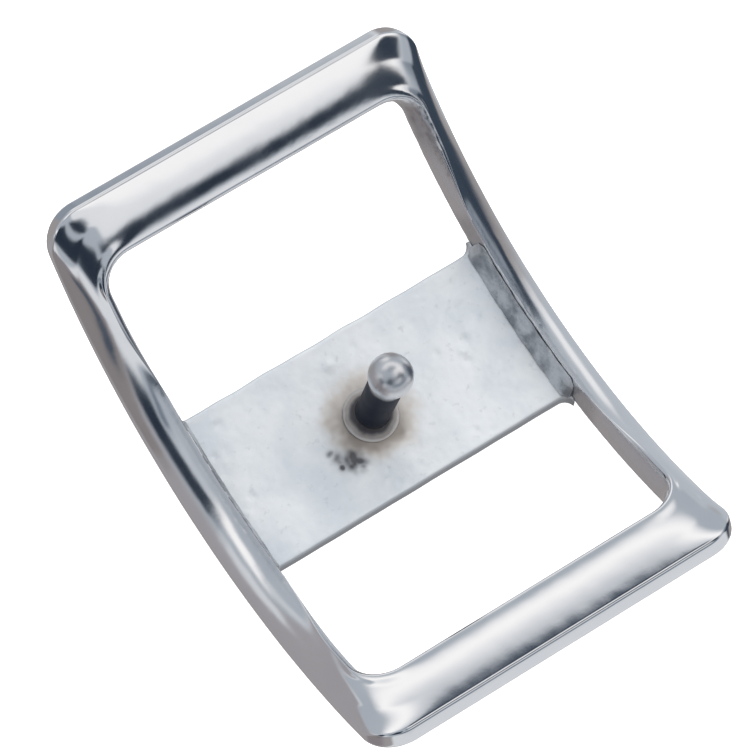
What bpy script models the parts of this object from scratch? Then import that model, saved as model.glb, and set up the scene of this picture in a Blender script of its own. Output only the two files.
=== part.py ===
"""Strap buckle with a fixed ball stud (Conway pattern).

An arched loop of two wide end bars and two narrow side rails, a rough cross plate let in between the
rails, and a turned ball stud that passes through the plate. Units are metres. +X runs across the strap,
+Y along the strap and +Z up the stud. The origin is under the middle of the plate's flat back.
"""

import math
from collections import namedtuple

import bmesh
import bpy
import numpy as np
from mathutils import Vector

MM = 0.001
GAP = 0.05 * MM                  # left between neighbouring solids

# Loop: two bars and two rails, cut flat and then bent to an arch about an axis along X
LOOP_WIDTH = 31.0 * MM           # across the strap
LOOP_LENGTH = 49.9 * MM          # along the underside of the arch
ARCH_RADIUS = 33.1 * MM          # of the underside
OUTER_CORNER = 2.9 * MM
WINDOW_CORNER = 2.2 * MM

# The loop is thick along the window and thin along its rim. A shoulder is one of its two walls: the
# radius of its under edge, the height where it starts to lean in, its top, and how far it leans in.
# The crown is how far the face between the two shoulders bulges.
Shoulder = namedtuple("Shoulder", "edge start top lean")
Section = namedtuple("Section", "width inner outer crown")
BAR = Section(
    4.95 * MM,
    Shoulder(0.7 * MM, 1.2 * MM, 3.2 * MM, 0.75 * MM),
    Shoulder(0.7 * MM, 0.8 * MM, 1.6 * MM, 0.05 * MM),
    0.35 * MM,
)
RAIL = Section(
    2.65 * MM,
    Shoulder(0.7 * MM, 1.7 * MM, 3.2 * MM, 0.10 * MM),
    Shoulder(0.7 * MM, 0.9 * MM, 1.2 * MM, 0.05 * MM),
    0.25 * MM,
)
BLEND_MARGIN = 0.1 * MM          # bar and rail sections blend between these widths, less the margin
INNER_WALL = LOOP_WIDTH / 2 - RAIL.width

# Cross plate
PLATE_LENGTH = 12.9 * MM         # along the strap, at mid width
PLATE_TOP = 0.85 * MM            # height of its upper face above the arch line
PLATE_DROP = 0.20 * MM           # how far its lower face hangs below the arch line
PLATE_CORNER = 0.9 * MM          # fillets where it meets the rails

# Stud, turned in one piece; heights are above the plate's flat back
STUD_X = -0.30 * MM              # it is set slightly off centre
STUD_Y = -0.15 * MM
BALL_RADIUS = 1.65 * MM
BALL_HEIGHT = 10.60 * MM         # of the ball's centre
NECK_TOP_RADIUS = 1.32 * MM
NECK_RADIUS = 1.26 * MM
NECK_TAPER_Z = 3.0 * MM          # the neck widens from here up to the ball
SHOULDER_Z = 0.92 * MM           # the neck's shoulder stands on the plate here
TENON_RADIUS = 1.00 * MM
TAIL_RADIUS = 1.50 * MM          # the peened tail fills a countersink in the back
TAIL_RIM_Z = 0.10 * MM
TAIL_FACE_Z = 0.04 * MM
TAIL_TOP_Z = 0.45 * MM
HOLE_REACH = 3.0 * MM            # the cutter for the stud's hole reaches past the plate

# Braze metal
RING_RADIUS = 1.95 * MM          # fillet round the stud's foot
RING_FOOT_Z = 0.97 * MM
RING_TOP_Z = 1.75 * MM
RING_TOE = 0.06 * MM             # its thickness where it runs out
SEAM_LEG_X = 0.70 * MM           # fillet between plate and rail
SEAM_TOE = 0.10 * MM
SEAM_TOP = 2.90 * MM
SEAM_HALF_LENGTH = 6.80 * MM
SEAM_FULL_HALF = 6.00 * MM       # the fillet has its full section up to here
SEAM_END_SCALE = 0.60

CORNER_STEPS = 6
RAIL_STEPS = 14
BAR_STEPS = 4
ROUND_STEPS = 3
CROWN_STEPS = 5
PLATE_STEPS = 6
FILLET_STEPS = 4
SEAM_STEPS = 12
TURN_STEPS = 32
BALL_STEPS = 9


def clear_scene():
    for item in list(bpy.data.objects):
        bpy.data.objects.remove(item, do_unlink=True)


def make_material(name, colour, roughness, metallic=1.0):
    material = bpy.data.materials.new(name)
    material.use_nodes = True
    shader = material.node_tree.nodes["Principled BSDF"]
    shader.inputs["Base Color"].default_value = (*colour, 1.0)
    shader.inputs["Roughness"].default_value = roughness
    shader.inputs["Metallic"].default_value = metallic
    return material


def bend(x, t, h):
    """Places a point of the flat blank on the arch: t runs along the underside, h is the height on it."""
    angle = t / ARCH_RADIUS
    reach = ARCH_RADIUS - h
    return Vector((x, reach * math.sin(angle), ARCH_RADIUS - reach * math.cos(angle)))


def make_object(name, bm, material, sharp_deg=35.0):
    bmesh.ops.recalc_face_normals(bm, faces=bm.faces)
    mesh = bpy.data.meshes.new(name)
    bm.to_mesh(mesh)
    bm.free()
    mesh.materials.append(material)
    mesh.shade_smooth()
    mesh.set_sharp_from_angle(angle=math.radians(sharp_deg))
    item = bpy.data.objects.new(name, mesh)
    bpy.context.scene.collection.objects.link(item)
    return item


def add_ring(bm, points):
    return [bm.verts.new(point) for point in points]


def join_rings(bm, first, second):
    for i, vert in enumerate(first):
        j = (i + 1) % len(first)
        bm.faces.new((vert, first[j], second[j], second[i]))


def rounded_rectangle(half_x, half_y, radius):
    """Outline of the flat blank, counter-clockwise, and the outward direction at each of its points."""
    corners = ((1, 1), (-1, 1), (-1, -1), (1, -1))
    points = []
    outward = []
    for index, (sign_x, sign_y) in enumerate(corners):
        centre = np.array([sign_x * (half_x - radius), sign_y * (half_y - radius)])
        for step in range(CORNER_STEPS + 1):
            angle = math.radians(90.0) * (index + step / CORNER_STEPS)
            outward.append(np.array([math.cos(angle), math.sin(angle)]))
            points.append(centre + radius * outward[-1])
        next_x, next_y = corners[(index + 1) % 4]
        on_bar = index % 2 == 0
        end_x = next_x * (half_x - radius) if on_bar else next_x * half_x
        end_y = next_y * half_y if on_bar else next_y * (half_y - radius)
        start = points[-1]
        steps = BAR_STEPS if on_bar else RAIL_STEPS
        for step in range(1, steps):
            points.append(start + (np.array([end_x, end_y]) - start) * step / steps)
            outward.append(outward[-1])
    return np.array(points), np.array(outward)


def lean_at(height, shoulder):
    """How far a shoulder has leaned in at a height: a quarter of an ellipse."""
    rise = max(0.0, height - shoulder.start) / (shoulder.top - shoulder.start)
    return shoulder.lean * (1.0 - math.sqrt(max(0.0, 1.0 - rise * rise)))


def wall_section(shoulder):
    """(inset, height) up one wall of the loop: rounded under edge, upright wall, leaning shoulder."""
    section = []
    for step in range(ROUND_STEPS + 1):
        angle = math.radians(90.0) * step / ROUND_STEPS
        section.append((shoulder.edge * (1.0 - math.sin(angle)), shoulder.edge * (1.0 - math.cos(angle))))
    for step in range(ROUND_STEPS + 1):
        share = math.sin(math.radians(90.0) * step / ROUND_STEPS)
        height = shoulder.start + (shoulder.top - shoulder.start) * share
        section.append((lean_at(height, shoulder), height))
    return np.array(section)


def wall_rings(outline, into_metal, on_bar, on_rail, bar_share):
    """Rings of (x, t, height) up one wall, changing from the rail's section to the bar's."""
    rings = []
    for bar, rail in zip(wall_section(on_bar), wall_section(on_rail)):
        inset, height = (rail + bar_share * (bar - rail)).T
        rings.append(np.column_stack([outline + inset[:, None] * into_metal, height]))
    return rings


def build_frame(material):
    """The loop is one ring-shaped skin: up the inner wall, over the crown, down the outer wall."""
    window, from_window = rounded_rectangle(INNER_WALL, LOOP_LENGTH / 2 - BAR.width, WINDOW_CORNER)
    rim, from_rim = rounded_rectangle(LOOP_WIDTH / 2, LOOP_LENGTH / 2, OUTER_CORNER)
    width = np.linalg.norm(rim - window, axis=1)
    span = BAR.width - RAIL.width - 2.0 * BLEND_MARGIN
    bar_share = np.clip((width - RAIL.width - BLEND_MARGIN) / span, 0.0, 1.0)[:, None]
    inner = wall_rings(window, from_window, BAR.inner, RAIL.inner, bar_share)
    outer = wall_rings(rim, -from_rim, BAR.outer, RAIL.outer, bar_share)
    bulge = (RAIL.crown + bar_share * (BAR.crown - RAIL.crown))[:, 0]
    crown = []
    for step in range(1, CROWN_STEPS):
        share = step / CROWN_STEPS
        ring = inner[-1] + share * (outer[-1] - inner[-1])
        ring[:, 2] += bulge * (1.0 - (2.0 * share - 1.0) ** 2)
        crown.append(ring)
    bm = bmesh.new()
    rings = [add_ring(bm, [bend(*point) for point in ring]) for ring in inner + crown + outer[::-1]]
    for first, second in zip(rings, rings[1:] + rings[:1]):
        join_rings(bm, first, second)
    return make_object("buckle_frame", bm, material)


def plate_half_length(x):
    """Half the plate's length at x: it flares into the rails with a fillet at each corner."""
    into_corner = max(0.0, abs(x) - (INNER_WALL - PLATE_CORNER))
    flare = PLATE_CORNER - math.sqrt(max(0.0, PLATE_CORNER**2 - into_corner**2))
    return PLATE_LENGTH / 2 + flare


def build_plate(material):
    """Lofted across the strap: each section is a bent slab whose belly is ground flat at z = 0."""
    half_x = INNER_WALL - GAP
    fillet_start = INNER_WALL - PLATE_CORNER
    stations = [0.0, 0.5 * fillet_start]
    for step in range(CORNER_STEPS + 1):
        angle = math.radians(90.0) * step / CORNER_STEPS
        stations.append(min(half_x, fillet_start + PLATE_CORNER * math.sin(angle)))
    stations = [-x for x in reversed(stations[1:])] + stations
    flat_half = ARCH_RADIUS * math.acos(ARCH_RADIUS / (ARCH_RADIUS + PLATE_DROP))
    bm = bmesh.new()
    rings = []
    for x in stations:
        half_y = plate_half_length(x)
        points = [
            bend(x, half_y * (2.0 * i / PLATE_STEPS - 1.0), PLATE_TOP) for i in range(PLATE_STEPS + 1)
        ]
        points.append(bend(x, half_y, -PLATE_DROP))
        points.append(Vector((x, flat_half, 0.0)))
        points.append(Vector((x, -flat_half, 0.0)))
        points.append(bend(x, -half_y, -PLATE_DROP))
        rings.append(add_ring(bm, points))
    for first, second in zip(rings, rings[1:]):
        join_rings(bm, first, second)
    bm.faces.new(rings[0])
    bm.faces.new(rings[-1])
    plate = make_object("centre_plate", bm, material)
    hole = build_lathe(
        "tenon_hole",
        [
            (0.0, -HOLE_REACH),
            (TAIL_RADIUS + GAP, -HOLE_REACH),
            (TAIL_RADIUS + GAP, TAIL_RIM_Z + GAP / 2),
            (TENON_RADIUS + GAP, TAIL_TOP_Z + GAP / 2),
            (TENON_RADIUS + GAP, HOLE_REACH),
            (0.0, HOLE_REACH),
        ],
        material,
    )
    hole.hide_render = True
    hole.display_type = "WIRE"
    cut = plate.modifiers.new("tenon_hole", "BOOLEAN")
    cut.operation = "DIFFERENCE"
    cut.solver = "EXACT"
    cut.object = hole
    return plate


def turned_ring(bm, radius, z):
    """A circle of vertices about the stud's axis."""
    ring = []
    for step in range(TURN_STEPS):
        angle = 2.0 * math.pi * step / TURN_STEPS
        ring.append((STUD_X + radius * math.cos(angle), STUD_Y + radius * math.sin(angle), z))
    return add_ring(bm, ring)


def build_lathe(name, profile, material):
    """Turns (radius, z) points about the stud's axis; the first and last points lie on the axis."""
    bm = bmesh.new()
    rings = [turned_ring(bm, radius, z) for radius, z in profile[1:-1]]
    for first, second in zip(rings, rings[1:]):
        join_rings(bm, first, second)
    for ring, (_, z) in ((rings[0], profile[0]), (rings[-1], profile[-1])):
        tip = bm.verts.new((STUD_X, STUD_Y, z))
        for i, vert in enumerate(ring):
            bm.faces.new((vert, ring[(i + 1) % TURN_STEPS], tip))
    return make_object(name, bm, material)


def build_stud(material):
    """Peened tail, tenon, shoulder, tapered neck and ball head, all in one turned piece."""
    profile = [
        (0.0, TAIL_FACE_Z),
        (TAIL_RADIUS, TAIL_FACE_Z),
        (TAIL_RADIUS, TAIL_RIM_Z),
        (TENON_RADIUS, TAIL_TOP_Z),
        (TENON_RADIUS, SHOULDER_Z),
        (NECK_RADIUS, SHOULDER_Z),
        (NECK_RADIUS, NECK_TAPER_Z),
    ]
    first_angle = math.asin(NECK_TOP_RADIUS / BALL_RADIUS)
    for step in range(BALL_STEPS):
        angle = first_angle + (math.pi - first_angle) * step / BALL_STEPS
        profile.append((BALL_RADIUS * math.sin(angle), BALL_HEIGHT - BALL_RADIUS * math.cos(angle)))
    profile.append((0.0, BALL_HEIGHT + BALL_RADIUS))
    return build_lathe("stud", profile, material)


def build_braze_ring(material):
    """A hollow-sided fillet of braze metal round the stud's foot."""
    bore = NECK_RADIUS + GAP
    leg_out = RING_RADIUS - bore - RING_TOE
    leg_up = RING_TOP_Z - RING_FOOT_Z - RING_TOE
    section = [(bore, RING_FOOT_Z), (RING_RADIUS, RING_FOOT_Z)]
    for step in range(FILLET_STEPS + 1):
        angle = math.radians(90.0) * step / FILLET_STEPS
        section.append((RING_RADIUS - leg_out * math.sin(angle), RING_TOP_Z - leg_up * math.cos(angle)))
    section.append((bore, RING_TOP_Z))
    bm = bmesh.new()
    rings = [turned_ring(bm, radius, z) for radius, z in section]
    for first, second in zip(rings, rings[1:] + rings[:1]):
        join_rings(bm, first, second)
    return make_object("stud_braze_fillet", bm, material)


def seam_section(scale):
    """(x, height) round the hollow fillet that fills the angle between the plate and the +X rail."""
    wall = INNER_WALL - GAP
    foot = PLATE_TOP + GAP
    top = foot + scale * (SEAM_TOP - foot)
    section = [(wall, foot)]
    for step in range(1, FILLET_STEPS + 1):
        height = foot + (top - foot) * step / FILLET_STEPS
        section.append((wall + lean_at(height, RAIL.inner), height))
    for step in range(FILLET_STEPS + 1):
        angle = math.radians(90.0) * step / FILLET_STEPS
        height = top - (top - foot - SEAM_TOE) * math.sin(angle)
        out = SEAM_TOE + (scale * SEAM_LEG_X - SEAM_TOE) * (1.0 - math.cos(angle))
        section.append((wall + lean_at(height, RAIL.inner) - out, height))
    section.append((wall - scale * SEAM_LEG_X, foot))
    return section


def build_seam(name, side, material):
    """side is +1 for the rail on +X and -1 for the one on -X."""
    bm = bmesh.new()
    rings = []
    for step in range(SEAM_STEPS + 1):
        t = SEAM_HALF_LENGTH * (2.0 * step / SEAM_STEPS - 1.0)
        past = max(0.0, abs(t) - SEAM_FULL_HALF) / (SEAM_HALF_LENGTH - SEAM_FULL_HALF)
        scale = 1.0 - (1.0 - SEAM_END_SCALE) * past * past
        rings.append(add_ring(bm, [bend(side * x, t, h) for x, h in seam_section(scale)]))
    for first, second in zip(rings, rings[1:]):
        join_rings(bm, first, second)
    bm.faces.new(rings[0])
    bm.faces.new(rings[-1])
    return make_object(name, bm, material)


def main():
    clear_scene()
    polished = make_material("polished_nickel", (0.78, 0.79, 0.82), 0.08)
    cast = make_material("cast_nickel", (0.66, 0.69, 0.73), 0.42)
    turned = make_material("turned_nickel", (0.74, 0.75, 0.78), 0.12)
    braze = make_material("plated_braze", (0.58, 0.55, 0.52), 0.38)
    build_frame(polished)
    build_plate(cast)
    build_stud(turned)
    build_braze_ring(braze)
    build_seam("right_braze_seam", 1, cast)
    build_seam("left_braze_seam", -1, cast)


main()
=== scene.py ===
"""Looks for the strap buckle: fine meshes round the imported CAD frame, materials, studio and camera."""

import math
from collections import namedtuple

import bmesh
import bpy
import numpy as np
from mathutils import Matrix, Vector, noise


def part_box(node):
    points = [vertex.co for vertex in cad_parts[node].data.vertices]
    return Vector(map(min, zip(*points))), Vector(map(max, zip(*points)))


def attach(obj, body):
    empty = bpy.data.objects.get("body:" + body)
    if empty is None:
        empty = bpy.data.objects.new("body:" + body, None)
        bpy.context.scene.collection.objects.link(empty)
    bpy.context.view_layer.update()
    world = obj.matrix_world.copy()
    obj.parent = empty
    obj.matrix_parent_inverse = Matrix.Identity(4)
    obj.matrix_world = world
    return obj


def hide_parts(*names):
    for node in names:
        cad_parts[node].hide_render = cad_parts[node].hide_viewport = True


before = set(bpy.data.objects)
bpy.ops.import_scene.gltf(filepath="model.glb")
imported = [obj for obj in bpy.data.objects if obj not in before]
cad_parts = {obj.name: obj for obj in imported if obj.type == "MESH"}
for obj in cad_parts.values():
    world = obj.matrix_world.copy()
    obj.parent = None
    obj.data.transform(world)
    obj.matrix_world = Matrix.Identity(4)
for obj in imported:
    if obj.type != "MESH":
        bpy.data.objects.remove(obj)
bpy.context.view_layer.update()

MM = 0.001

# ---------------------------------------------------------------- sizes, in millimetres
LOOP_LOW, LOOP_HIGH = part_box("buckle_frame")
STUD_LOW, STUD_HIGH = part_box("stud")
RING_LOW, RING_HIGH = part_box("stud_braze_fillet")

HALF_WIDTH = (LOOP_HIGH[0] - LOOP_LOW[0]) / 2 / MM
HALF_LENGTH = 24.95              # along the underside of the arch
ARCH_RADIUS = 33.1
OUTER_CORNER = 2.9
WINDOW_CORNER = 2.2

# Each side of the loop in section, measured above the arch. For both shoulders: the under edge's
# radius, where the shoulder starts, how high it ends, how far it has leaned in there and through how
# many degrees it has turned. Then how far the crown stands over the line between the shoulders, and
# which way it leans.
Shoulder = namedtuple("Shoulder", "edge start top lean turn")
Section = namedtuple("Section", "width inner outer crown peak")
BAR = Section(4.95, Shoulder(0.7, 1.20, 3.20, 0.80, 90), Shoulder(0.6, 1.30, 1.62, 0.13, 53), 0.29, 0.97)
RAIL = Section(2.65, Shoulder(0.7, 1.70, 3.20, 0.11, 90), Shoulder(0.6, 0.78, 1.18, 0.13, 39), 0.26, 1.16)
BLEND_FROM, BLEND_TO = 18.3, 22.6      # along the arch, where the rail's section becomes the bar's
WINDOW_FROM, WINDOW_TO = 9.0, 17.5     # the same for the edge towards the window
POLISHED_OFF = 0.012                   # metal that the polishing has taken

PLATE_HALF = 6.45                # half the plate's length
PLATE_TOP = 0.85
PLATE_DROP = 0.20
PLATE_CORNER = 0.9
PLATE_EDGE = 0.30                # radius along the plate's long edges

STUD_X = (STUD_LOW[0] + STUD_HIGH[0]) / 2 / MM
STUD_Y = (STUD_LOW[1] + STUD_HIGH[1]) / 2 / MM
BALL_RADIUS = (STUD_HIGH[0] - STUD_LOW[0]) / 2 / MM
BALL_HEIGHT = STUD_HIGH[2] / MM - BALL_RADIUS
NECK_RADIUS = 1.26
NECK_TOP_RADIUS = 1.32
STUD_LEAN = (-0.10, 0.15)        # how far the ball stands off the foot's axis
TAIL_RADIUS = 1.50
TAIL_Z = STUD_LOW[2] / MM
RING_RADIUS = (RING_HIGH[0] - RING_LOW[0]) / 2 / MM
RING_Z = RING_LOW[2] / MM
RING_TOP = RING_HIGH[2] / MM

INNER_WALL = HALF_WIDTH - RAIL.width
LUMPS_T = 17.2                   # unground lumps in the far right corner of the window
LUMPS_LENGTH = 2.4
SEAM_TOE_X = 12.15
SEAM_TOP = RAIL.inner.top - 0.25
SEAM_HALF = PLATE_HALF + 0.30
GAP = 0.02                       # keeps neighbouring skins from touching


# ---------------------------------------------------------------- helpers for shapes
def smoothstep(low, high, value):
    share = np.clip((value - low) / (high - low), 0.0, 1.0)
    return share * share * (3.0 - 2.0 * share)


def perlin(points, scale, offset=0.0):
    """Perlin noise at each point; scale is the size of its lumps in millimetres."""
    shift = Vector((offset, 1.7 * offset, -0.6 * offset))
    flat = (points.reshape(-1, 3) / scale).tolist()
    return np.array([noise.noise(Vector(p) + shift) for p in flat]).reshape(points.shape[:-1])


def bend(x, t, h):
    """A point of the flat blank laid on the arch: t along the underside, h above it."""
    x, t, h = np.broadcast_arrays(x, t, h)
    angle = t / ARCH_RADIUS
    return np.stack(
        [x, (ARCH_RADIUS - h) * np.sin(angle), ARCH_RADIUS - (ARCH_RADIUS - h) * np.cos(angle)], axis=-1
    )


def grid_normals(grid, wrap_rows, wrap_columns):
    """Unit normals of a grid of points, by central differences."""
    def slope(axis, wrap):
        if wrap:
            return np.roll(grid, -1, axis) - np.roll(grid, 1, axis)
        return np.gradient(grid, axis=axis)

    normal = np.cross(slope(1, wrap_columns), slope(0, wrap_rows))
    return normal / np.maximum(np.linalg.norm(normal, axis=-1, keepdims=True), 1e-9)


def mesh_from_grid(name, grid, close_rows, cap_ends, material, attributes=None):
    """Skins a grid whose columns always close. Rows close too for a ring, or are capped for a rod."""
    rows, columns, _ = grid.shape
    index = np.arange(rows * columns).reshape(rows, columns)
    right = np.roll(index, -1, axis=1)
    if close_rows:
        corners = [index, right, np.roll(right, -1, axis=0), np.roll(index, -1, axis=0)]
    else:
        corners = [index[:-1], right[:-1], right[1:], index[1:]]
    faces = np.stack(corners, axis=-1).reshape(-1, 4).tolist()
    if cap_ends:
        faces += [index[0][::-1].tolist(), index[-1].tolist()]
    mesh = bpy.data.meshes.new(name)
    mesh.from_pydata((grid.reshape(-1, 3) * MM).tolist(), [], faces)
    for key, values in (attributes or {}).items():
        layer = mesh.attributes.new(key, "FLOAT", "POINT")
        layer.data.foreach_set("value", np.asarray(values, dtype=np.float32).reshape(-1))
    bm = bmesh.new()
    bm.from_mesh(mesh)
    bmesh.ops.recalc_face_normals(bm, faces=bm.faces)
    bm.to_mesh(mesh)
    bm.free()
    mesh.materials.append(material)
    mesh.shade_smooth()
    item = bpy.data.objects.new(name, mesh)
    bpy.context.scene.collection.objects.link(item)
    return item


# ---------------------------------------------------------------- the polished loop
CORNER_STEPS = 26
RAIL_STEPS = 240
BAR_STEPS = 150
EDGE_STEPS = 9
SHOULDER_STEPS = 18
CROWN_STEPS = 44
SOFTENING = 11                   # steps round the loop over which a corner of the crown is drawn out
SOFT_FROM, SOFT_TO = 2, 14       # softening starts so many rows outside the crown, is full so many inside


def outline(half_x, half_y, radius):
    """Points of a rounded rectangle, counter-clockwise, and the outward direction at each."""
    corners = ((1, 1), (-1, 1), (-1, -1), (1, -1))
    points, outward = [], []
    for i, (sx, sy) in enumerate(corners):
        angle = math.pi / 2 * (i + np.arange(CORNER_STEPS + 1) / CORNER_STEPS)
        direction = np.stack([np.cos(angle), np.sin(angle)], axis=1)
        arc = np.array([sx * (half_x - radius), sy * (half_y - radius)]) + radius * direction
        nx, ny = corners[(i + 1) % 4]
        on_bar = i % 2 == 0
        end = (nx * (half_x - radius), ny * half_y) if on_bar else (nx * half_x, ny * (half_y - radius))
        steps = BAR_STEPS if on_bar else RAIL_STEPS
        share = (np.arange(1, steps) / steps)[:, None]
        points += [arc, arc[-1] + share * (np.array(end) - arc[-1])]
        outward += [direction, np.repeat(direction[-1:], steps - 1, axis=0)]
    return np.concatenate(points), np.concatenate(outward)


def lean_at(height, shoulder):
    """How far a shoulder has leaned in at a height; part of an ellipse."""
    turn = math.radians(shoulder.turn)
    rise = np.clip((height - shoulder.start) / (shoulder.top - shoulder.start), 0.0, 1.0) * math.sin(turn)
    return shoulder.lean * (1.0 - np.sqrt(1.0 - rise * rise)) / (1.0 - math.cos(turn))


def wall_profile(shoulder):
    """(inset, height) up one wall: the rounded under edge, then the leaning shoulder."""
    low = np.linspace(0.0, math.pi / 2, EDGE_STEPS)
    edge = shoulder.edge * np.stack([1.0 - np.sin(low), 1.0 - np.cos(low)], axis=1)
    turn = math.radians(shoulder.turn)
    share = np.sin(np.linspace(0.0, turn, SHOULDER_STEPS)) / math.sin(turn)
    height = shoulder.start + (shoulder.top - shoulder.start) * share
    return np.concatenate([edge, np.stack([lean_at(height, shoulder), height], axis=1)])


def soften_corners(flat, inner, outer):
    """Polishing has drawn the crown out where a rail runs into a bar, so nothing turns sharply there."""
    reach = np.arange(-3 * SOFTENING, 3 * SOFTENING + 1)
    weight = np.exp(-0.5 * (reach / SOFTENING) ** 2)
    weight /= weight.sum()
    drawn = sum(share * np.roll(flat, step, axis=1) for share, step in zip(weight, reach))
    row = np.arange(len(flat))
    last = len(flat) - 1 - outer
    amount = smoothstep(inner - SOFT_FROM, inner + SOFT_TO, row)
    amount = amount * smoothstep(last + SOFT_FROM, last + 1 - SOFT_TO, row)
    return flat + amount[:, None, None] * (drawn - flat)


def build_loop(material):
    window, from_window = outline(INNER_WALL, HALF_LENGTH - BAR.width, WINDOW_CORNER)
    rim, from_rim = outline(HALF_WIDTH, HALF_LENGTH, OUTER_CORNER)
    middle = (np.abs(rim[:, 1]) + np.abs(window[:, 1])) / 2
    bar_share = smoothstep(BLEND_FROM, BLEND_TO, middle)[:, None]
    window_share = smoothstep(WINDOW_FROM, WINDOW_TO, middle)[:, None]

    def wall(base, into_metal, bar, rail, share):
        steps = zip(wall_profile(bar), wall_profile(rail))
        rings = [on_rail + share * (on_bar - on_rail) for on_bar, on_rail in steps]
        return [np.column_stack([base + ring[:, :1] * into_metal, ring[:, 1]]) for ring in rings]

    inner = wall(window, from_window, BAR.inner, RAIL.inner, window_share)
    outer = wall(rim, -from_rim, BAR.outer, RAIL.outer, bar_share)
    rise = (RAIL.crown + bar_share * (BAR.crown - RAIL.crown))[:, 0]
    peak = (RAIL.peak + bar_share * (BAR.peak - RAIL.peak))[:, 0]
    crown = []
    for share in np.arange(1, CROWN_STEPS) / CROWN_STEPS:
        ring = inner[-1] + share * (outer[-1] - inner[-1])
        ring[:, 2] += rise * (1.0 - (2.0 * share**peak - 1.0) ** 2)
        crown.append(ring)
    flat = soften_corners(np.array(inner + crown + outer[::-1]), len(inner), len(outer))
    grid = bend(flat[..., 0], flat[..., 1], flat[..., 2])
    normal = grid_normals(grid, True, True)
    if normal[len(inner) + 20, :, 2].mean() < 0.0:
        normal = -normal
    x, t, height = flat[..., 0], flat[..., 1], flat[..., 2]
    on_wall = smoothstep(0.35, -0.05, np.abs(x) - INNER_WALL - 0.30)
    on_wall = on_wall * smoothstep(RAIL.inner.top, RAIL.inner.top - 0.3, height)
    on_wall = on_wall * (np.abs(t) < HALF_LENGTH - BAR.width)
    near_plate = smoothstep(10.5, 7.0, np.abs(t) + 1.2 * perlin(flat, 1.6, 3.0))
    cast = np.clip(on_wall * (0.35 + 0.65 * near_plate), 0.0, 1.0)
    lumps = np.exp(-(((t - LUMPS_T) / LUMPS_LENGTH) ** 2)) * (x > 0.0)
    lumps = lumps * smoothstep(INNER_WALL + 1.05, INNER_WALL + 0.45, x)
    cast = np.clip(cast + 0.8 * lumps * (height > 1.0), 0.0, 1.0)
    wave = 0.006 * perlin(grid, 2.6) + 0.0035 * perlin(grid, 1.0, 5.0)
    skin = 0.030 * perlin(grid, 0.55, 9.0) + 0.020 * perlin(grid, 0.25, 12.0)
    skin = skin + lumps * (0.16 * perlin(grid, 0.9, 17.0) + 0.06 * perlin(grid, 0.4, 18.0))
    grid = grid + normal * (wave * (1.0 - cast) + skin * cast - POLISHED_OFF)[..., None]
    return mesh_from_grid("loop_polished", grid, True, False, material, {"cast": cast})


# ---------------------------------------------------------------- the as-cast cross plate
# (x, t, radius, height) of the lumps and pits that stand out on its upper face
CASTING_MARKS = (
    (-10.2, 4.9, 0.50, -0.09), (-11.7, 3.1, 0.40, -0.08), (-10.9, -0.8, 0.75, 0.05),
    (-10.9, -0.8, 0.42, -0.15),
    (-6.3, -3.2, 0.45, -0.06), (1.2, 4.8, 0.45, -0.09), (8.6, 1.1, 0.45, -0.14), (6.3, 1.2, 0.40, -0.09),
    (8.0, -0.4, 0.40, -0.13), (10.4, 2.2, 0.45, -0.06), (5.5, -5.2, 0.35, -0.10), (-11.6, 1.5, 0.50, -0.08),
    (-1.0, 4.6, 0.55, 0.14), (8.1, 0.4, 0.40, 0.14), (9.8, 4.0, 0.80, 0.05), (-11.8, -1.8, 0.45, 0.10),
    (-11.2, 2.3, 0.35, 0.06), (9.2, 1.8, 0.60, 0.05), (4.2, 0.9, 0.50, 0.04), (-4.6, -4.4, 0.40, -0.04),
)
# (x, t, radius, height) of the dark specks of flux and spatter below the stud
SPATTER = (
    (-3.3, -2.2, 0.75, -0.08), (-4.0, -1.7, 0.45, -0.10), (-2.8, -2.6, 0.50, -0.10),
    (-3.4, -2.7, 0.50, -0.12),
    (-4.4, -1.1, 0.25, 0.05), (-3.0, -3.2, 0.30, 0.05), (-4.2, -2.4, 0.25, -0.05),
)


def plate_half_length(x):
    into_corner = np.clip(np.abs(x) - (INNER_WALL - PLATE_CORNER), 0.0, PLATE_CORNER)
    return PLATE_HALF + PLATE_CORNER - np.sqrt(np.maximum(PLATE_CORNER**2 - into_corner**2, 0.0))


def marks_height(x, t, marks):
    height = np.zeros_like(x)
    for mark_x, mark_t, radius, rise in marks:
        reach = ((x - mark_x) ** 2 + (t - mark_t) ** 2) / radius**2
        height += rise * np.exp(-1.6 * reach)
    return height


def plate_stains(x, t, flat):
    """Heat tint round the stud, a darker brown band close round it that is strongest on its side away from
    +X and +Y, and the dark specks below it; all from 0 to 1.
    """
    wander = 0.50 * perlin(flat, 1.3, 21.0) + 0.30 * perlin(flat, 0.5, 22.0)
    away = np.hypot(x - STUD_X, t - STUD_Y) + wander
    tint = smoothstep(4.2, 2.6, away)
    # darker brown band close round the stud, strongest on its side away from +X and +Y
    lower = smoothstep(-0.6, 0.7, -(0.50 * (x - STUD_X) + 0.86 * (t - STUD_Y)) / np.maximum(away, 0.5))
    brown = (0.35 + 0.65 * lower) * smoothstep(3.3, 2.0, away)
    soot = np.zeros_like(x)
    for mark_x, mark_t, radius, _ in SPATTER:
        reach = ((x - mark_x) ** 2 + (t - mark_t) ** 2) / radius**2
        soot = np.maximum(soot, np.exp(-0.8 * reach))
    return tint, brown, np.clip(soot * (1.0 + 0.8 * perlin(flat, 0.45, 31.0)), 0.0, 1.0)


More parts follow.
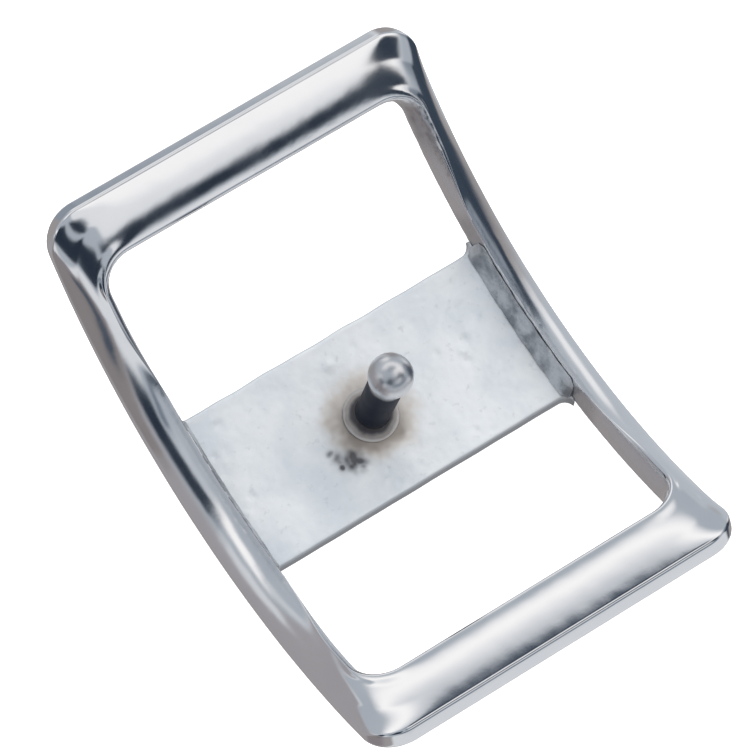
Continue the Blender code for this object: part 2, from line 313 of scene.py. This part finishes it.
def build_plate(material):
    half_x = INNER_WALL - GAP
    x = np.linspace(-half_x, half_x, 320)[:, None]
    reach = plate_half_length(x)
    along = np.stack([x, 40.0 + 0 * x, 0 * x], axis=-1)
    far_side = reach + 0.07 * perlin(along, 2.2)
    near_side = reach + 0.04 * perlin(along, 3.0, 8.0)
    top_share = np.linspace(-1.0, 1.0, 160)[None, :]
    t = np.where(top_share > 0, top_share * far_side, top_share * near_side)
    full_x = x + 0 * t
    flat = np.stack([full_x, t, 0 * t], axis=-1)
    to_edge = np.minimum(far_side - t, t + near_side)
    into_edge = np.clip(PLATE_EDGE - to_edge, 0.0, PLATE_EDGE)
    rounding = PLATE_EDGE - np.sqrt(np.maximum(PLATE_EDGE**2 - into_edge**2, 0.0))
    relief = 0.050 * perlin(flat, 3.4, 2.0) + 0.040 * perlin(flat, 1.3, 4.0) + 0.022 * perlin(flat, 0.5, 6.0)
    relief += marks_height(full_x, t, CASTING_MARKS) + marks_height(full_x, t, SPATTER)
    relief *= smoothstep(0.0, 0.8, to_edge)
    top = bend(full_x, t, PLATE_TOP - 0.02 - rounding + relief * 0.8)
    under_share = np.linspace(1.0, -1.0, 60)[None, :]
    under_t = np.where(under_share > 0, under_share * (far_side - 0.05), under_share * (near_side - 0.05))
    under = bend(x + 0 * under_t, under_t, -PLATE_DROP)
    under[..., 2] = np.maximum(under[..., 2], 0.0)
    tint, brown, soot = plate_stains(full_x, t, flat)
    # painted shade: darkens the plate's near edge, its far edge more faintly, and its whole underside
    rim = smoothstep(0.16, 0.0, t + near_side) + 0.35 * smoothstep(0.10, 0.0, far_side - t)
    blank = np.zeros(under_t.shape)
    attributes = {
        "tint": np.concatenate([tint, blank], axis=1),
        "brown": np.concatenate([brown, blank], axis=1),
        "soot": np.concatenate([soot, blank], axis=1),
        "rim": np.concatenate([rim, blank + 0.8], axis=1),
    }
    grid = np.concatenate([top, under], axis=1)
    plate = mesh_from_grid("plate_cast", grid, False, True, material, attributes)
    bore = TAIL_RADIUS + 0.05
    cutter = lathe(
        "tail_recess",
        [(0.0, -1.0), (bore, -1.0), (bore, 0.12), (1.05, 0.45), (1.05, 3.0), (0.0, 3.0)],
        96,
        material,
    )
    cut = plate.modifiers.new("tail_recess", "BOOLEAN")
    cut.operation = "DIFFERENCE"
    cut.solver = "EXACT"
    cut.object = cutter
    bpy.context.view_layer.update()
    evaluated = plate.evaluated_get(bpy.context.evaluated_depsgraph_get())
    finished = bpy.data.meshes.new_from_object(evaluated)
    plate.modifiers.clear()
    plate.data = finished
    bpy.data.objects.remove(cutter, do_unlink=True)
    return plate


# ---------------------------------------------------------------- stud and braze metal
def lathe(name, profile, turns, material, closed=False):
    """Turns (radius, z) about the stud's axis; the profile's ends lie on the axis unless it is closed."""
    angle = np.linspace(0.0, 2.0 * math.pi, turns, endpoint=False)
    profile = np.array(profile)
    body = profile if closed else profile[1:-1]
    radius = body[:, 0][:, None]
    height = body[:, 1][:, None] + 0 * angle
    lean = np.clip((height - RING_TOP) / (BALL_HEIGHT - RING_TOP), 0.0, 2.0)
    grid = np.stack(
        [STUD_X + radius * np.cos(angle) + STUD_LEAN[0] * lean,
         STUD_Y + radius * np.sin(angle) + STUD_LEAN[1] * lean, height], -1
    )
    return mesh_from_grid(name, grid, closed, not closed, material)


def build_stud(material):
    profile = [(0.0, TAIL_Z)]
    profile += [(r, TAIL_Z) for r in np.linspace(0.1, TAIL_RADIUS, 12)]
    profile += [(TAIL_RADIUS, TAIL_Z + 0.06), (1.0, 0.45), (1.0, 0.93), (NECK_RADIUS - 0.01, 0.93)]
    neck_top = BALL_HEIGHT - math.sqrt(BALL_RADIUS**2 - NECK_TOP_RADIUS**2) - 0.35
    for share in np.linspace(0.0, 1.0, 60):
        z = 1.0 + share * (neck_top - 1.0)
        profile.append((NECK_RADIUS - (NECK_RADIUS - NECK_TOP_RADIUS) * share, z))
    first = math.asin(NECK_TOP_RADIUS / BALL_RADIUS) + 0.16
    throat = (BALL_RADIUS * math.sin(first), BALL_HEIGHT - BALL_RADIUS * math.cos(first))
    for share in np.linspace(0.1, 0.9, 9):
        z = neck_top + share * (throat[1] - neck_top)
        profile.append((NECK_TOP_RADIUS + share * share * (throat[0] - NECK_TOP_RADIUS), z))
    for angle in np.linspace(first, math.pi - 0.02, 60):
        profile.append((BALL_RADIUS * math.sin(angle), BALL_HEIGHT - BALL_RADIUS * math.cos(angle)))
    profile.append((0.0, BALL_HEIGHT + BALL_RADIUS))
    return lathe("stud_turned", profile, 128, material)


def build_ring(material):
    bore = NECK_RADIUS + GAP
    toe = RING_RADIUS + 0.10
    section = [(bore, RING_Z)]
    section += [(r, RING_Z) for r in np.linspace(bore + 0.1, toe - 0.02, 8)]
    for angle in np.linspace(0.0, math.pi / 2, 24):
        radius = toe - (toe - bore - 0.03) * math.sin(angle)
        section.append((radius, RING_TOP - (RING_TOP - RING_Z - 0.02) * math.cos(angle)))
    section.append((bore, RING_TOP))
    return lathe("foot_braze", section, 128, material, closed=True)


def build_seam(name, side, material):
    """Cast metal run up from the plate to the rail's shoulder: a slanting, slightly hollow flank."""
    foot = PLATE_TOP + 0.03
    wall = INNER_WALL - GAP
    t = np.linspace(-SEAM_HALF, SEAM_HALF, 300)[:, None]
    wander = perlin(np.stack([t, 0 * t, 7.0 * side + 0 * t], axis=-1), 1.3)
    end = smoothstep(0.0, 0.5, SEAM_HALF - np.abs(t))
    toe = wall - (wall - SEAM_TOE_X) * (0.55 + 0.45 * end) * (1.0 + 0.10 * wander)
    top = foot + (SEAM_TOP - foot) * (0.80 + 0.20 * end) * (0.96 + 0.07 * wander)
    up = np.linspace(0.0, 1.0, 14)[None, :]
    wall_h = foot + up * (top - foot)
    wall_x = wall + lean_at(wall_h, RAIL.inner)
    down = np.linspace(1.0, 0.0, 40)[None, :]
    face_h = foot + 0.03 + down * (top - foot - 0.03)
    crest_x = wall + lean_at(top, RAIL.inner) - 0.05
    hollow = 0.12 * np.sin(math.pi * down)
    face_x = np.minimum(toe + (crest_x - toe) * down + hollow,
                        wall - 0.04 + lean_at(face_h, RAIL.inner))
    face = np.stack([face_x, t + 0 * face_x, face_h], axis=-1)
    rough = 0.12 * perlin(face, 1.0, 2.0 * side) + 0.05 * perlin(face, 0.4, 5.0 * side)
    face_x = face_x - np.abs(rough) * np.sin(math.pi * down) ** 0.5
    section_x = np.concatenate([wall_x, face_x], axis=1)
    section_h = np.concatenate([wall_h, face_h], axis=1)
    grid = bend(side * section_x, t + 0 * section_x, section_h)
    return mesh_from_grid(name, grid, False, True, material)


# ---------------------------------------------------------------- materials
class Nodes:
    """Short spellings for building a material's or the world's node tree."""

    def __init__(self, tree):
        self.tree = tree

    def add(self, kind, **settings):
        node = self.tree.nodes.new(kind)
        for key, value in settings.items():
            setattr(node, key, value)
        return node

    def link(self, source, target):
        self.tree.links.new(source, target)

    def put(self, socket, value):
        if hasattr(value, "is_linked"):
            self.link(value, socket)
        else:
            socket.default_value = value

    def math(self, operation, *values):
        node = self.add("ShaderNodeMath", operation=operation)
        for socket, value in zip(node.inputs, values):
            self.put(socket, value)
        return node.outputs[0]

    def mix(self, factor, first, second):
        node = self.add("ShaderNodeMix", data_type="RGBA")
        for socket, value in zip((node.inputs[0], node.inputs[6], node.inputs[7]), (factor, first, second)):
            single = hasattr(value, "is_linked") or isinstance(value, float)
            self.put(socket, value if single else (*value, 1.0))
        return node.outputs[2]

    def span(self, value, low, high, to_low=0.0, to_high=1.0):
        node = self.add("ShaderNodeMapRange", interpolation_type="SMOOTHSTEP")
        for socket, item in zip(node.inputs, (value, low, high, to_low, to_high)):
            self.put(socket, item)
        return node.outputs[0]

    def noise(self, where, per_mm, detail=3.0, roughness=0.5):
        node = self.add("ShaderNodeTexNoise")
        self.link(where, node.inputs["Vector"])
        node.inputs["Scale"].default_value = per_mm / MM
        node.inputs["Detail"].default_value = detail
        node.inputs["Roughness"].default_value = roughness
        return node.outputs["Fac"]

    def attribute(self, name):
        return self.add("ShaderNodeAttribute", attribute_name=name).outputs["Fac"]


def new_metal(name, metallic=1.0):
    material = bpy.data.materials.new(name)
    material.use_nodes = True
    nodes = Nodes(material.node_tree)
    shader = material.node_tree.nodes["Principled BSDF"]
    shader.inputs["Metallic"].default_value = metallic
    where = nodes.add("ShaderNodeTexCoord").outputs["Object"]
    return material, nodes, shader, where


def bump(nodes, shader, height, distance_mm):
    node = nodes.add("ShaderNodeBump")
    node.inputs["Strength"].default_value = 1.0
    node.inputs["Distance"].default_value = distance_mm * MM
    nodes.link(height, node.inputs["Height"])
    nodes.link(node.outputs["Normal"], shader.inputs["Normal"])


def polished_nickel():
    material, nodes, shader, where = new_metal("polished_nickel")
    cast = nodes.attribute("cast")
    cloud = nodes.noise(where, 0.35, 4.0)
    fine = nodes.noise(where, 3.0, 3.0)
    polished = nodes.mix(cloud, (0.70, 0.71, 0.74), (0.78, 0.79, 0.81))
    rough = nodes.mix(fine, (0.42, 0.42, 0.44), (0.60, 0.60, 0.62))
    nodes.link(nodes.mix(cast, polished, rough), shader.inputs["Base Color"])
    shine = nodes.span(cloud, 0.3, 0.7, 0.09, 0.14)
    dull = nodes.span(fine, 0.3, 0.7, 0.30, 0.46)
    blend = nodes.math("ADD", nodes.math("MULTIPLY", shine, nodes.math("SUBTRACT", 1.0, cast)),
                       nodes.math("MULTIPLY", dull, cast))
    nodes.link(blend, shader.inputs["Roughness"])
    grain = nodes.math("MULTIPLY", fine, nodes.math("ADD", 0.04, cast))
    bump(nodes, shader, grain, 0.03)
    return material


def cast_nickel():
    """Unpolished plated casting: pale and satin, with heat tint, a darker brown band round the stud, specks,
    and painted shade on its edges and underside.
    """
    material, nodes, shader, where = new_metal("cast_nickel", 0.45)
    broad = nodes.noise(where, 0.22, 4.0, 0.55)
    fine = nodes.noise(where, 1.6, 4.0, 0.55)
    colour = nodes.mix(nodes.span(broad, 0.3, 0.7), (0.70, 0.75, 0.80), (0.86, 0.89, 0.92))
    colour = nodes.mix(nodes.span(fine, 0.60, 0.75, 0.0, 0.25), colour, (0.40, 0.43, 0.47))
    colour = nodes.mix(nodes.math("MULTIPLY", nodes.attribute("tint"), 0.60), colour, (0.60, 0.53, 0.46))
    colour = nodes.mix(nodes.math("MULTIPLY", nodes.attribute("brown"), 0.75), colour, (0.24, 0.20, 0.17))
    colour = nodes.mix(nodes.math("MULTIPLY", nodes.attribute("soot"), 0.92), colour, (0.045, 0.045, 0.055))
    # painted shade along the plate's edges and underside, from the rim attribute
    colour = nodes.mix(nodes.math("MULTIPLY", nodes.attribute("rim"), 0.8), colour, (0.16, 0.17, 0.19))
    nodes.link(colour, shader.inputs["Base Color"])
    nodes.link(nodes.span(broad, 0.3, 0.7, 0.40, 0.52), shader.inputs["Roughness"])
    bump(nodes, shader, fine, 0.02)
    return material


def seam_nickel():
    material, nodes, shader, where = new_metal("seam_nickel", 0.6)
    broad = nodes.noise(where, 0.5, 4.0, 0.6)
    fine = nodes.noise(where, 2.2, 4.0, 0.6)
    colour = nodes.mix(nodes.span(broad, 0.35, 0.65), (0.24, 0.26, 0.29), (0.58, 0.61, 0.65))
    colour = nodes.mix(nodes.span(fine, 0.58, 0.75, 0.0, 0.5), colour, (0.16, 0.17, 0.19))
    nodes.link(colour, shader.inputs["Base Color"])
    nodes.link(nodes.span(broad, 0.3, 0.7, 0.42, 0.55), shader.inputs["Roughness"])
    bump(nodes, shader, fine, 0.05)
    return material


def turned_nickel():
    """Bright ball on a neck painted dark navy and almost matt, a painted dark reflection, greyer towards the
    foot.
    """
    material, nodes, shader, where = new_metal("turned_nickel")
    split = nodes.add("ShaderNodeSeparateXYZ")
    nodes.link(where, split.inputs[0])
    cloud = nodes.noise(where, 0.6, 3.0)
    drift = nodes.math("MULTIPLY", nodes.math("SUBTRACT", cloud, 0.5), 0.6 * MM)
    height = nodes.math("ADD", split.outputs[2], drift)
    ball_foot = (BALL_HEIGHT - 0.8 * BALL_RADIUS) * MM
    # painted dark reflection: below the ball the neck is painted dark navy, greyer towards the foot, and
    # made nearly non-metallic and rougher
    painted_dark_neck = nodes.span(height, ball_foot + 0.5 * MM, ball_foot - 0.7 * MM)
    foot = nodes.span(height, 2.6 * MM, 1.2 * MM)
    dark = nodes.mix(foot, (0.010, 0.015, 0.032), (0.05, 0.05, 0.055))
    bright = nodes.mix(cloud, (0.62, 0.63, 0.66), (0.72, 0.73, 0.75))
    nodes.link(nodes.mix(painted_dark_neck, bright, dark), shader.inputs["Base Color"])
    nodes.link(nodes.math("SUBTRACT", 1.0, nodes.math("MULTIPLY", painted_dark_neck, 0.9)), shader.inputs["Metallic"])
    nodes.link(nodes.math("SUBTRACT", 0.5, nodes.math("MULTIPLY", painted_dark_neck, 0.4)),
               shader.inputs["Specular IOR Level"])
    shine = nodes.span(cloud, 0.3, 0.7, 0.29, 0.34)
    nodes.link(nodes.math("ADD", shine, nodes.math("MULTIPLY", painted_dark_neck, 0.2)), shader.inputs["Roughness"])
    bump(nodes, shader, nodes.noise(where, 2.5, 2.0), 0.004)
    return material


def plated_braze():
    """Dark where it meets the neck; the pale band at its toe on the plate is a painted highlight."""
    material, nodes, shader, where = new_metal("plated_braze", 0.5)
    split = nodes.add("ShaderNodeSeparateXYZ")
    nodes.link(where, split.inputs[0])
    aside = nodes.math("SUBTRACT", split.outputs[0], STUD_X * MM)
    along = nodes.math("SUBTRACT", split.outputs[1], STUD_Y * MM)
    square = nodes.math("ADD", nodes.math("MULTIPLY", aside, aside), nodes.math("MULTIPLY", along, along))
    cloud = nodes.noise(where, 0.8, 4.0)
    wander = nodes.math("MULTIPLY", nodes.math("SUBTRACT", cloud, 0.5), 0.5 * MM)
    away = nodes.math("ADD", nodes.math("SQRT", square), wander)
    colour = nodes.mix(cloud, (0.26, 0.24, 0.23), (0.36, 0.34, 0.33))
    colour = nodes.mix(nodes.span(away, 1.75 * MM, 1.40 * MM), colour, (0.07, 0.07, 0.08))
    # painted highlight: a pale band at the fillet's toe
    colour = nodes.mix(nodes.span(away, 1.80 * MM, 2.00 * MM), colour, (0.46, 0.45, 0.45))
    nodes.link(colour, shader.inputs["Base Color"])
    nodes.link(nodes.span(cloud, 0.3, 0.7, 0.36, 0.50), shader.inputs["Roughness"])
    bump(nodes, shader, nodes.noise(where, 2.0, 3.0), 0.03)
    return material


# ---------------------------------------------------------------- studio
def grey(level):
    """A grey that turns bluer the darker it is."""
    return (level**1.12, level, level**0.87)


# Panels round the part, all angles in degrees: azimuth, half width, lowest and highest elevation,
# tilt (climb per degree of azimuth), softness, and colour. Azimuth 0 is +Y and 90 is +X. Later panels
# cover earlier ones.
PANELS = (
    (165, 50, -60, 5, 0.0, 3, grey(0.84)),            # pale wall behind the camera, low down
    (-78, 34, -60, 10, 0.0, 6, (0.42, 0.40, 0.41)),   # dim wall on the left
    (-112, 16, -60, 4, 0.0, 6, (0.29, 0.26, 0.27)),
    (12, 15, -60, 8, 0.0, 5, grey(0.78)),             # strip light on the far side, brighter at its top
    (14, 12, 0, 19, 0.0, 4, grey(1.15)),
    (0, 18, -30, -6, 0.0, 4, grey(0.36)),
    (68, 16, -60, 7, 0.0, 4, grey(0.62)),             # strip light on the right, brighter at its top
    (75, 8, -16, -2, 0.0, 4, grey(1.05)),
    (96, 14, 8, 28, 0.0, 4, grey(0.32)),
    (106, 15, -36, 8, 0.0, 4, grey(0.07)),            # flag beside the strip light
    (15, 60, 34, 70, 0.0, 4, grey(0.74)),             # large soft box on the far side
    (15, 58, 36, 52, 0.0, 8, grey(1.22)),
    (-5, 45, 61, 78, 0.0, 3, grey(0.30)),             # gap above the soft box
    (44, 26, 61, 73, 0.0, 2, grey(0.07)),
    (140, 42, 62, 90, 0.0, 3, grey(0.95)),            # overhead soft box, right of centre
    (98, 28, 31, 90, 0.0, 10, grey(1.18)),
    (-48, 14, 36, 62, 0.0, 6, grey(0.50)),
    (-68, 8, 3, 12, -0.5, 3, grey(0.82)),             # shelf on the left
    (-90, 12, 30, 40, 0.0, 4, grey(0.66)),            # lamps above the shelf
    (-70, 8, 21, 34, -0.7, 4, grey(1.22)),
    (-54, 8, 12, 20, -0.8, 4, grey(0.75)),
    (-112, 13, 29, 36, 0.0, 3, grey(0.24)),
    (-100, 11, -45, 6, 0.0, 3, (0.29, 0.265, 0.26)),  # dull wall on the left, low down
    (-107, 4, -9, 0, 0.0, 2, grey(0.09)),
    (-117, 6, 4, 22, 0.0, 3, grey(0.88)),
    (-94, 15, 12, 28, 0.25, 3, grey(0.04)),
    (90, 10, -7, 6, -1.2, 3, grey(0.06)),
    (-138, 19, 27, 58, 0.0, 3, grey(0.035)),          # dark gap behind the camera
    (158, 35, 49, 61, 0.0, 3, grey(0.035)),
    (131, 14, 30, 57, 0.0, 4, grey(0.05)),
    (167, 15, 33, 46, 0.0, 3, grey(0.92)),            # narrow strip under the gap
    (168, 34, 13, 26, 0.0, 3, grey(0.13)),
)
SKY = grey(0.54)
TABLE = (0.40, 0.375, 0.37)
FILL_LOW = 0.45                  # soft fill on matt surfaces, away from the key light and towards it
FILL_HIGH = 1.45
KEY_AZIMUTH = 35.0
KEY_ELEVATION = 50.0


def build_world():
    world = bpy.data.worlds.new("studio")
    bpy.context.scene.world = world
    world.use_nodes = True
    nodes = Nodes(world.node_tree)
    background = world.node_tree.nodes["Background"]
    split = nodes.add("ShaderNodeSeparateXYZ")
    nodes.link(nodes.add("ShaderNodeTexCoord").outputs["Generated"], split.inputs[0])
    x, y, z = split.outputs
    elevation = nodes.math("DEGREES", nodes.math("ARCSINE", z))
    bearing = nodes.math("DEGREES", nodes.math("ARCTAN2", x, y))
    colour = nodes.mix(nodes.span(elevation, -6.0, 6.0), TABLE, SKY)
    for azimuth, half, low, high, tilt, soft, tint in PANELS:
        aside = nodes.math("WRAP", nodes.math("SUBTRACT", bearing, float(azimuth)), 180.0, -180.0)
        above = elevation if tilt == 0.0 else nodes.math("MULTIPLY_ADD", aside, -tilt, elevation)
        off_middle = nodes.math("ABSOLUTE", nodes.math("SUBTRACT", above, (low + high) / 2))
        mask = nodes.math(
            "MULTIPLY",
            nodes.span(nodes.math("ABSOLUTE", aside), half + soft, half - soft),
            nodes.span(off_middle, (high - low) / 2 + soft, (high - low) / 2 - soft),
        )
        colour = nodes.mix(mask, colour, tint)
    azimuth, rise = math.radians(KEY_AZIMUTH), math.radians(KEY_ELEVATION)
    key = (math.sin(azimuth) * math.cos(rise), math.cos(azimuth) * math.cos(rise), math.sin(rise))
    towards = nodes.math("MULTIPLY", x, key[0])
    towards = nodes.math("ADD", towards, nodes.math("MULTIPLY", y, key[1]))
    towards = nodes.math("ADD", towards, nodes.math("MULTIPLY", z, key[2]))
    fill = nodes.span(towards, -0.4, 1.0, FILL_LOW, FILL_HIGH)
    path = nodes.add("ShaderNodeLightPath")
    matt = nodes.add("ShaderNodeCombineColor")
    for socket in matt.inputs[:3]:
        nodes.link(fill, socket)
    colour = nodes.mix(path.outputs["Is Diffuse Ray"], colour, matt.outputs[0])
    colour = nodes.mix(path.outputs["Is Camera Ray"], colour, (1.0, 1.0, 1.0))
    nodes.link(colour, background.inputs["Color"])
    background.inputs["Strength"].default_value = 1.0


def build_floor():
    """A pale floor just under the part; it shows in the camera's view but not in the metal."""
    material = bpy.data.materials.new("floor_white")
    material.use_nodes = True
    shader = material.node_tree.nodes["Principled BSDF"]
    shader.inputs["Base Color"].default_value = (0.9, 0.9, 0.9, 1.0)
    shader.inputs["Roughness"].default_value = 0.9
    shader.inputs["Emission Color"].default_value = (1.0, 1.0, 1.0, 1.0)
    shader.inputs["Emission Strength"].default_value = 1.0
    mesh = bpy.data.meshes.new("floor")
    half = 2.0
    corners = [(-half, -half, 0.0), (half, -half, 0.0), (half, half, 0.0), (-half, half, 0.0)]
    mesh.from_pydata(corners, [], [(0, 1, 2, 3)])
    mesh.materials.append(material)
    floor = bpy.data.objects.new("floor", mesh)
    floor.location.z = -0.02 * MM
    floor.visible_glossy = False
    floor.visible_diffuse = False
    bpy.context.scene.collection.objects.link(floor)


# ---------------------------------------------------------------- camera
CAMERA_TILT = (-0.1512, 0.2899, 0.5814)       # turns about the part's X, Y and Z axes, in radians
CAMERA_SHIFT = (0.215, -1.984)               # of the aim point on the picture, mm
CAMERA_DISTANCE = 401.2
AIM = Vector((0.0, 0.0, 3.0))
LENS = 271.54
SENSOR = 36.0


def build_camera():
    pitch, roll, spin = CAMERA_TILT
    turn = Matrix.Rotation(spin, 3, "Z") @ Matrix.Rotation(pitch, 3, "X") @ Matrix.Rotation(roll, 3, "Y")
    away = turn.transposed() @ Vector((-CAMERA_SHIFT[0], -CAMERA_SHIFT[1], CAMERA_DISTANCE))
    data = bpy.data.cameras.new("camera")
    data.lens = LENS
    data.sensor_width = SENSOR
    data.clip_start = 0.01
    data.clip_end = 20.0
    camera = bpy.data.objects.new("camera", data)
    camera.matrix_world = Matrix.Translation((AIM + away) * MM) @ turn.transposed().to_4x4()
    bpy.context.scene.collection.objects.link(camera)
    bpy.context.scene.camera = camera


# ---------------------------------------------------------------- assembly
def place(piece, slot, *nodes):
    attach(piece, "root")
    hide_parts(*nodes)


build_camera()
build_world()
build_floor()
bpy.context.scene.view_settings.view_transform = "Standard"

seam_skin = seam_nickel()
place(build_loop(polished_nickel()), "polished_nickel", "buckle_frame")
place(build_plate(cast_nickel()), "cast_nickel", "centre_plate")
place(build_stud(turned_nickel()), "turned_nickel", "stud")
place(build_ring(plated_braze()), "plated_braze", "stud_braze_fillet")
place(build_seam("seam_right", 1, seam_skin), "cast_nickel", "right_braze_seam")
place(build_seam("seam_left", -1, seam_skin), "cast_nickel", "left_braze_seam")
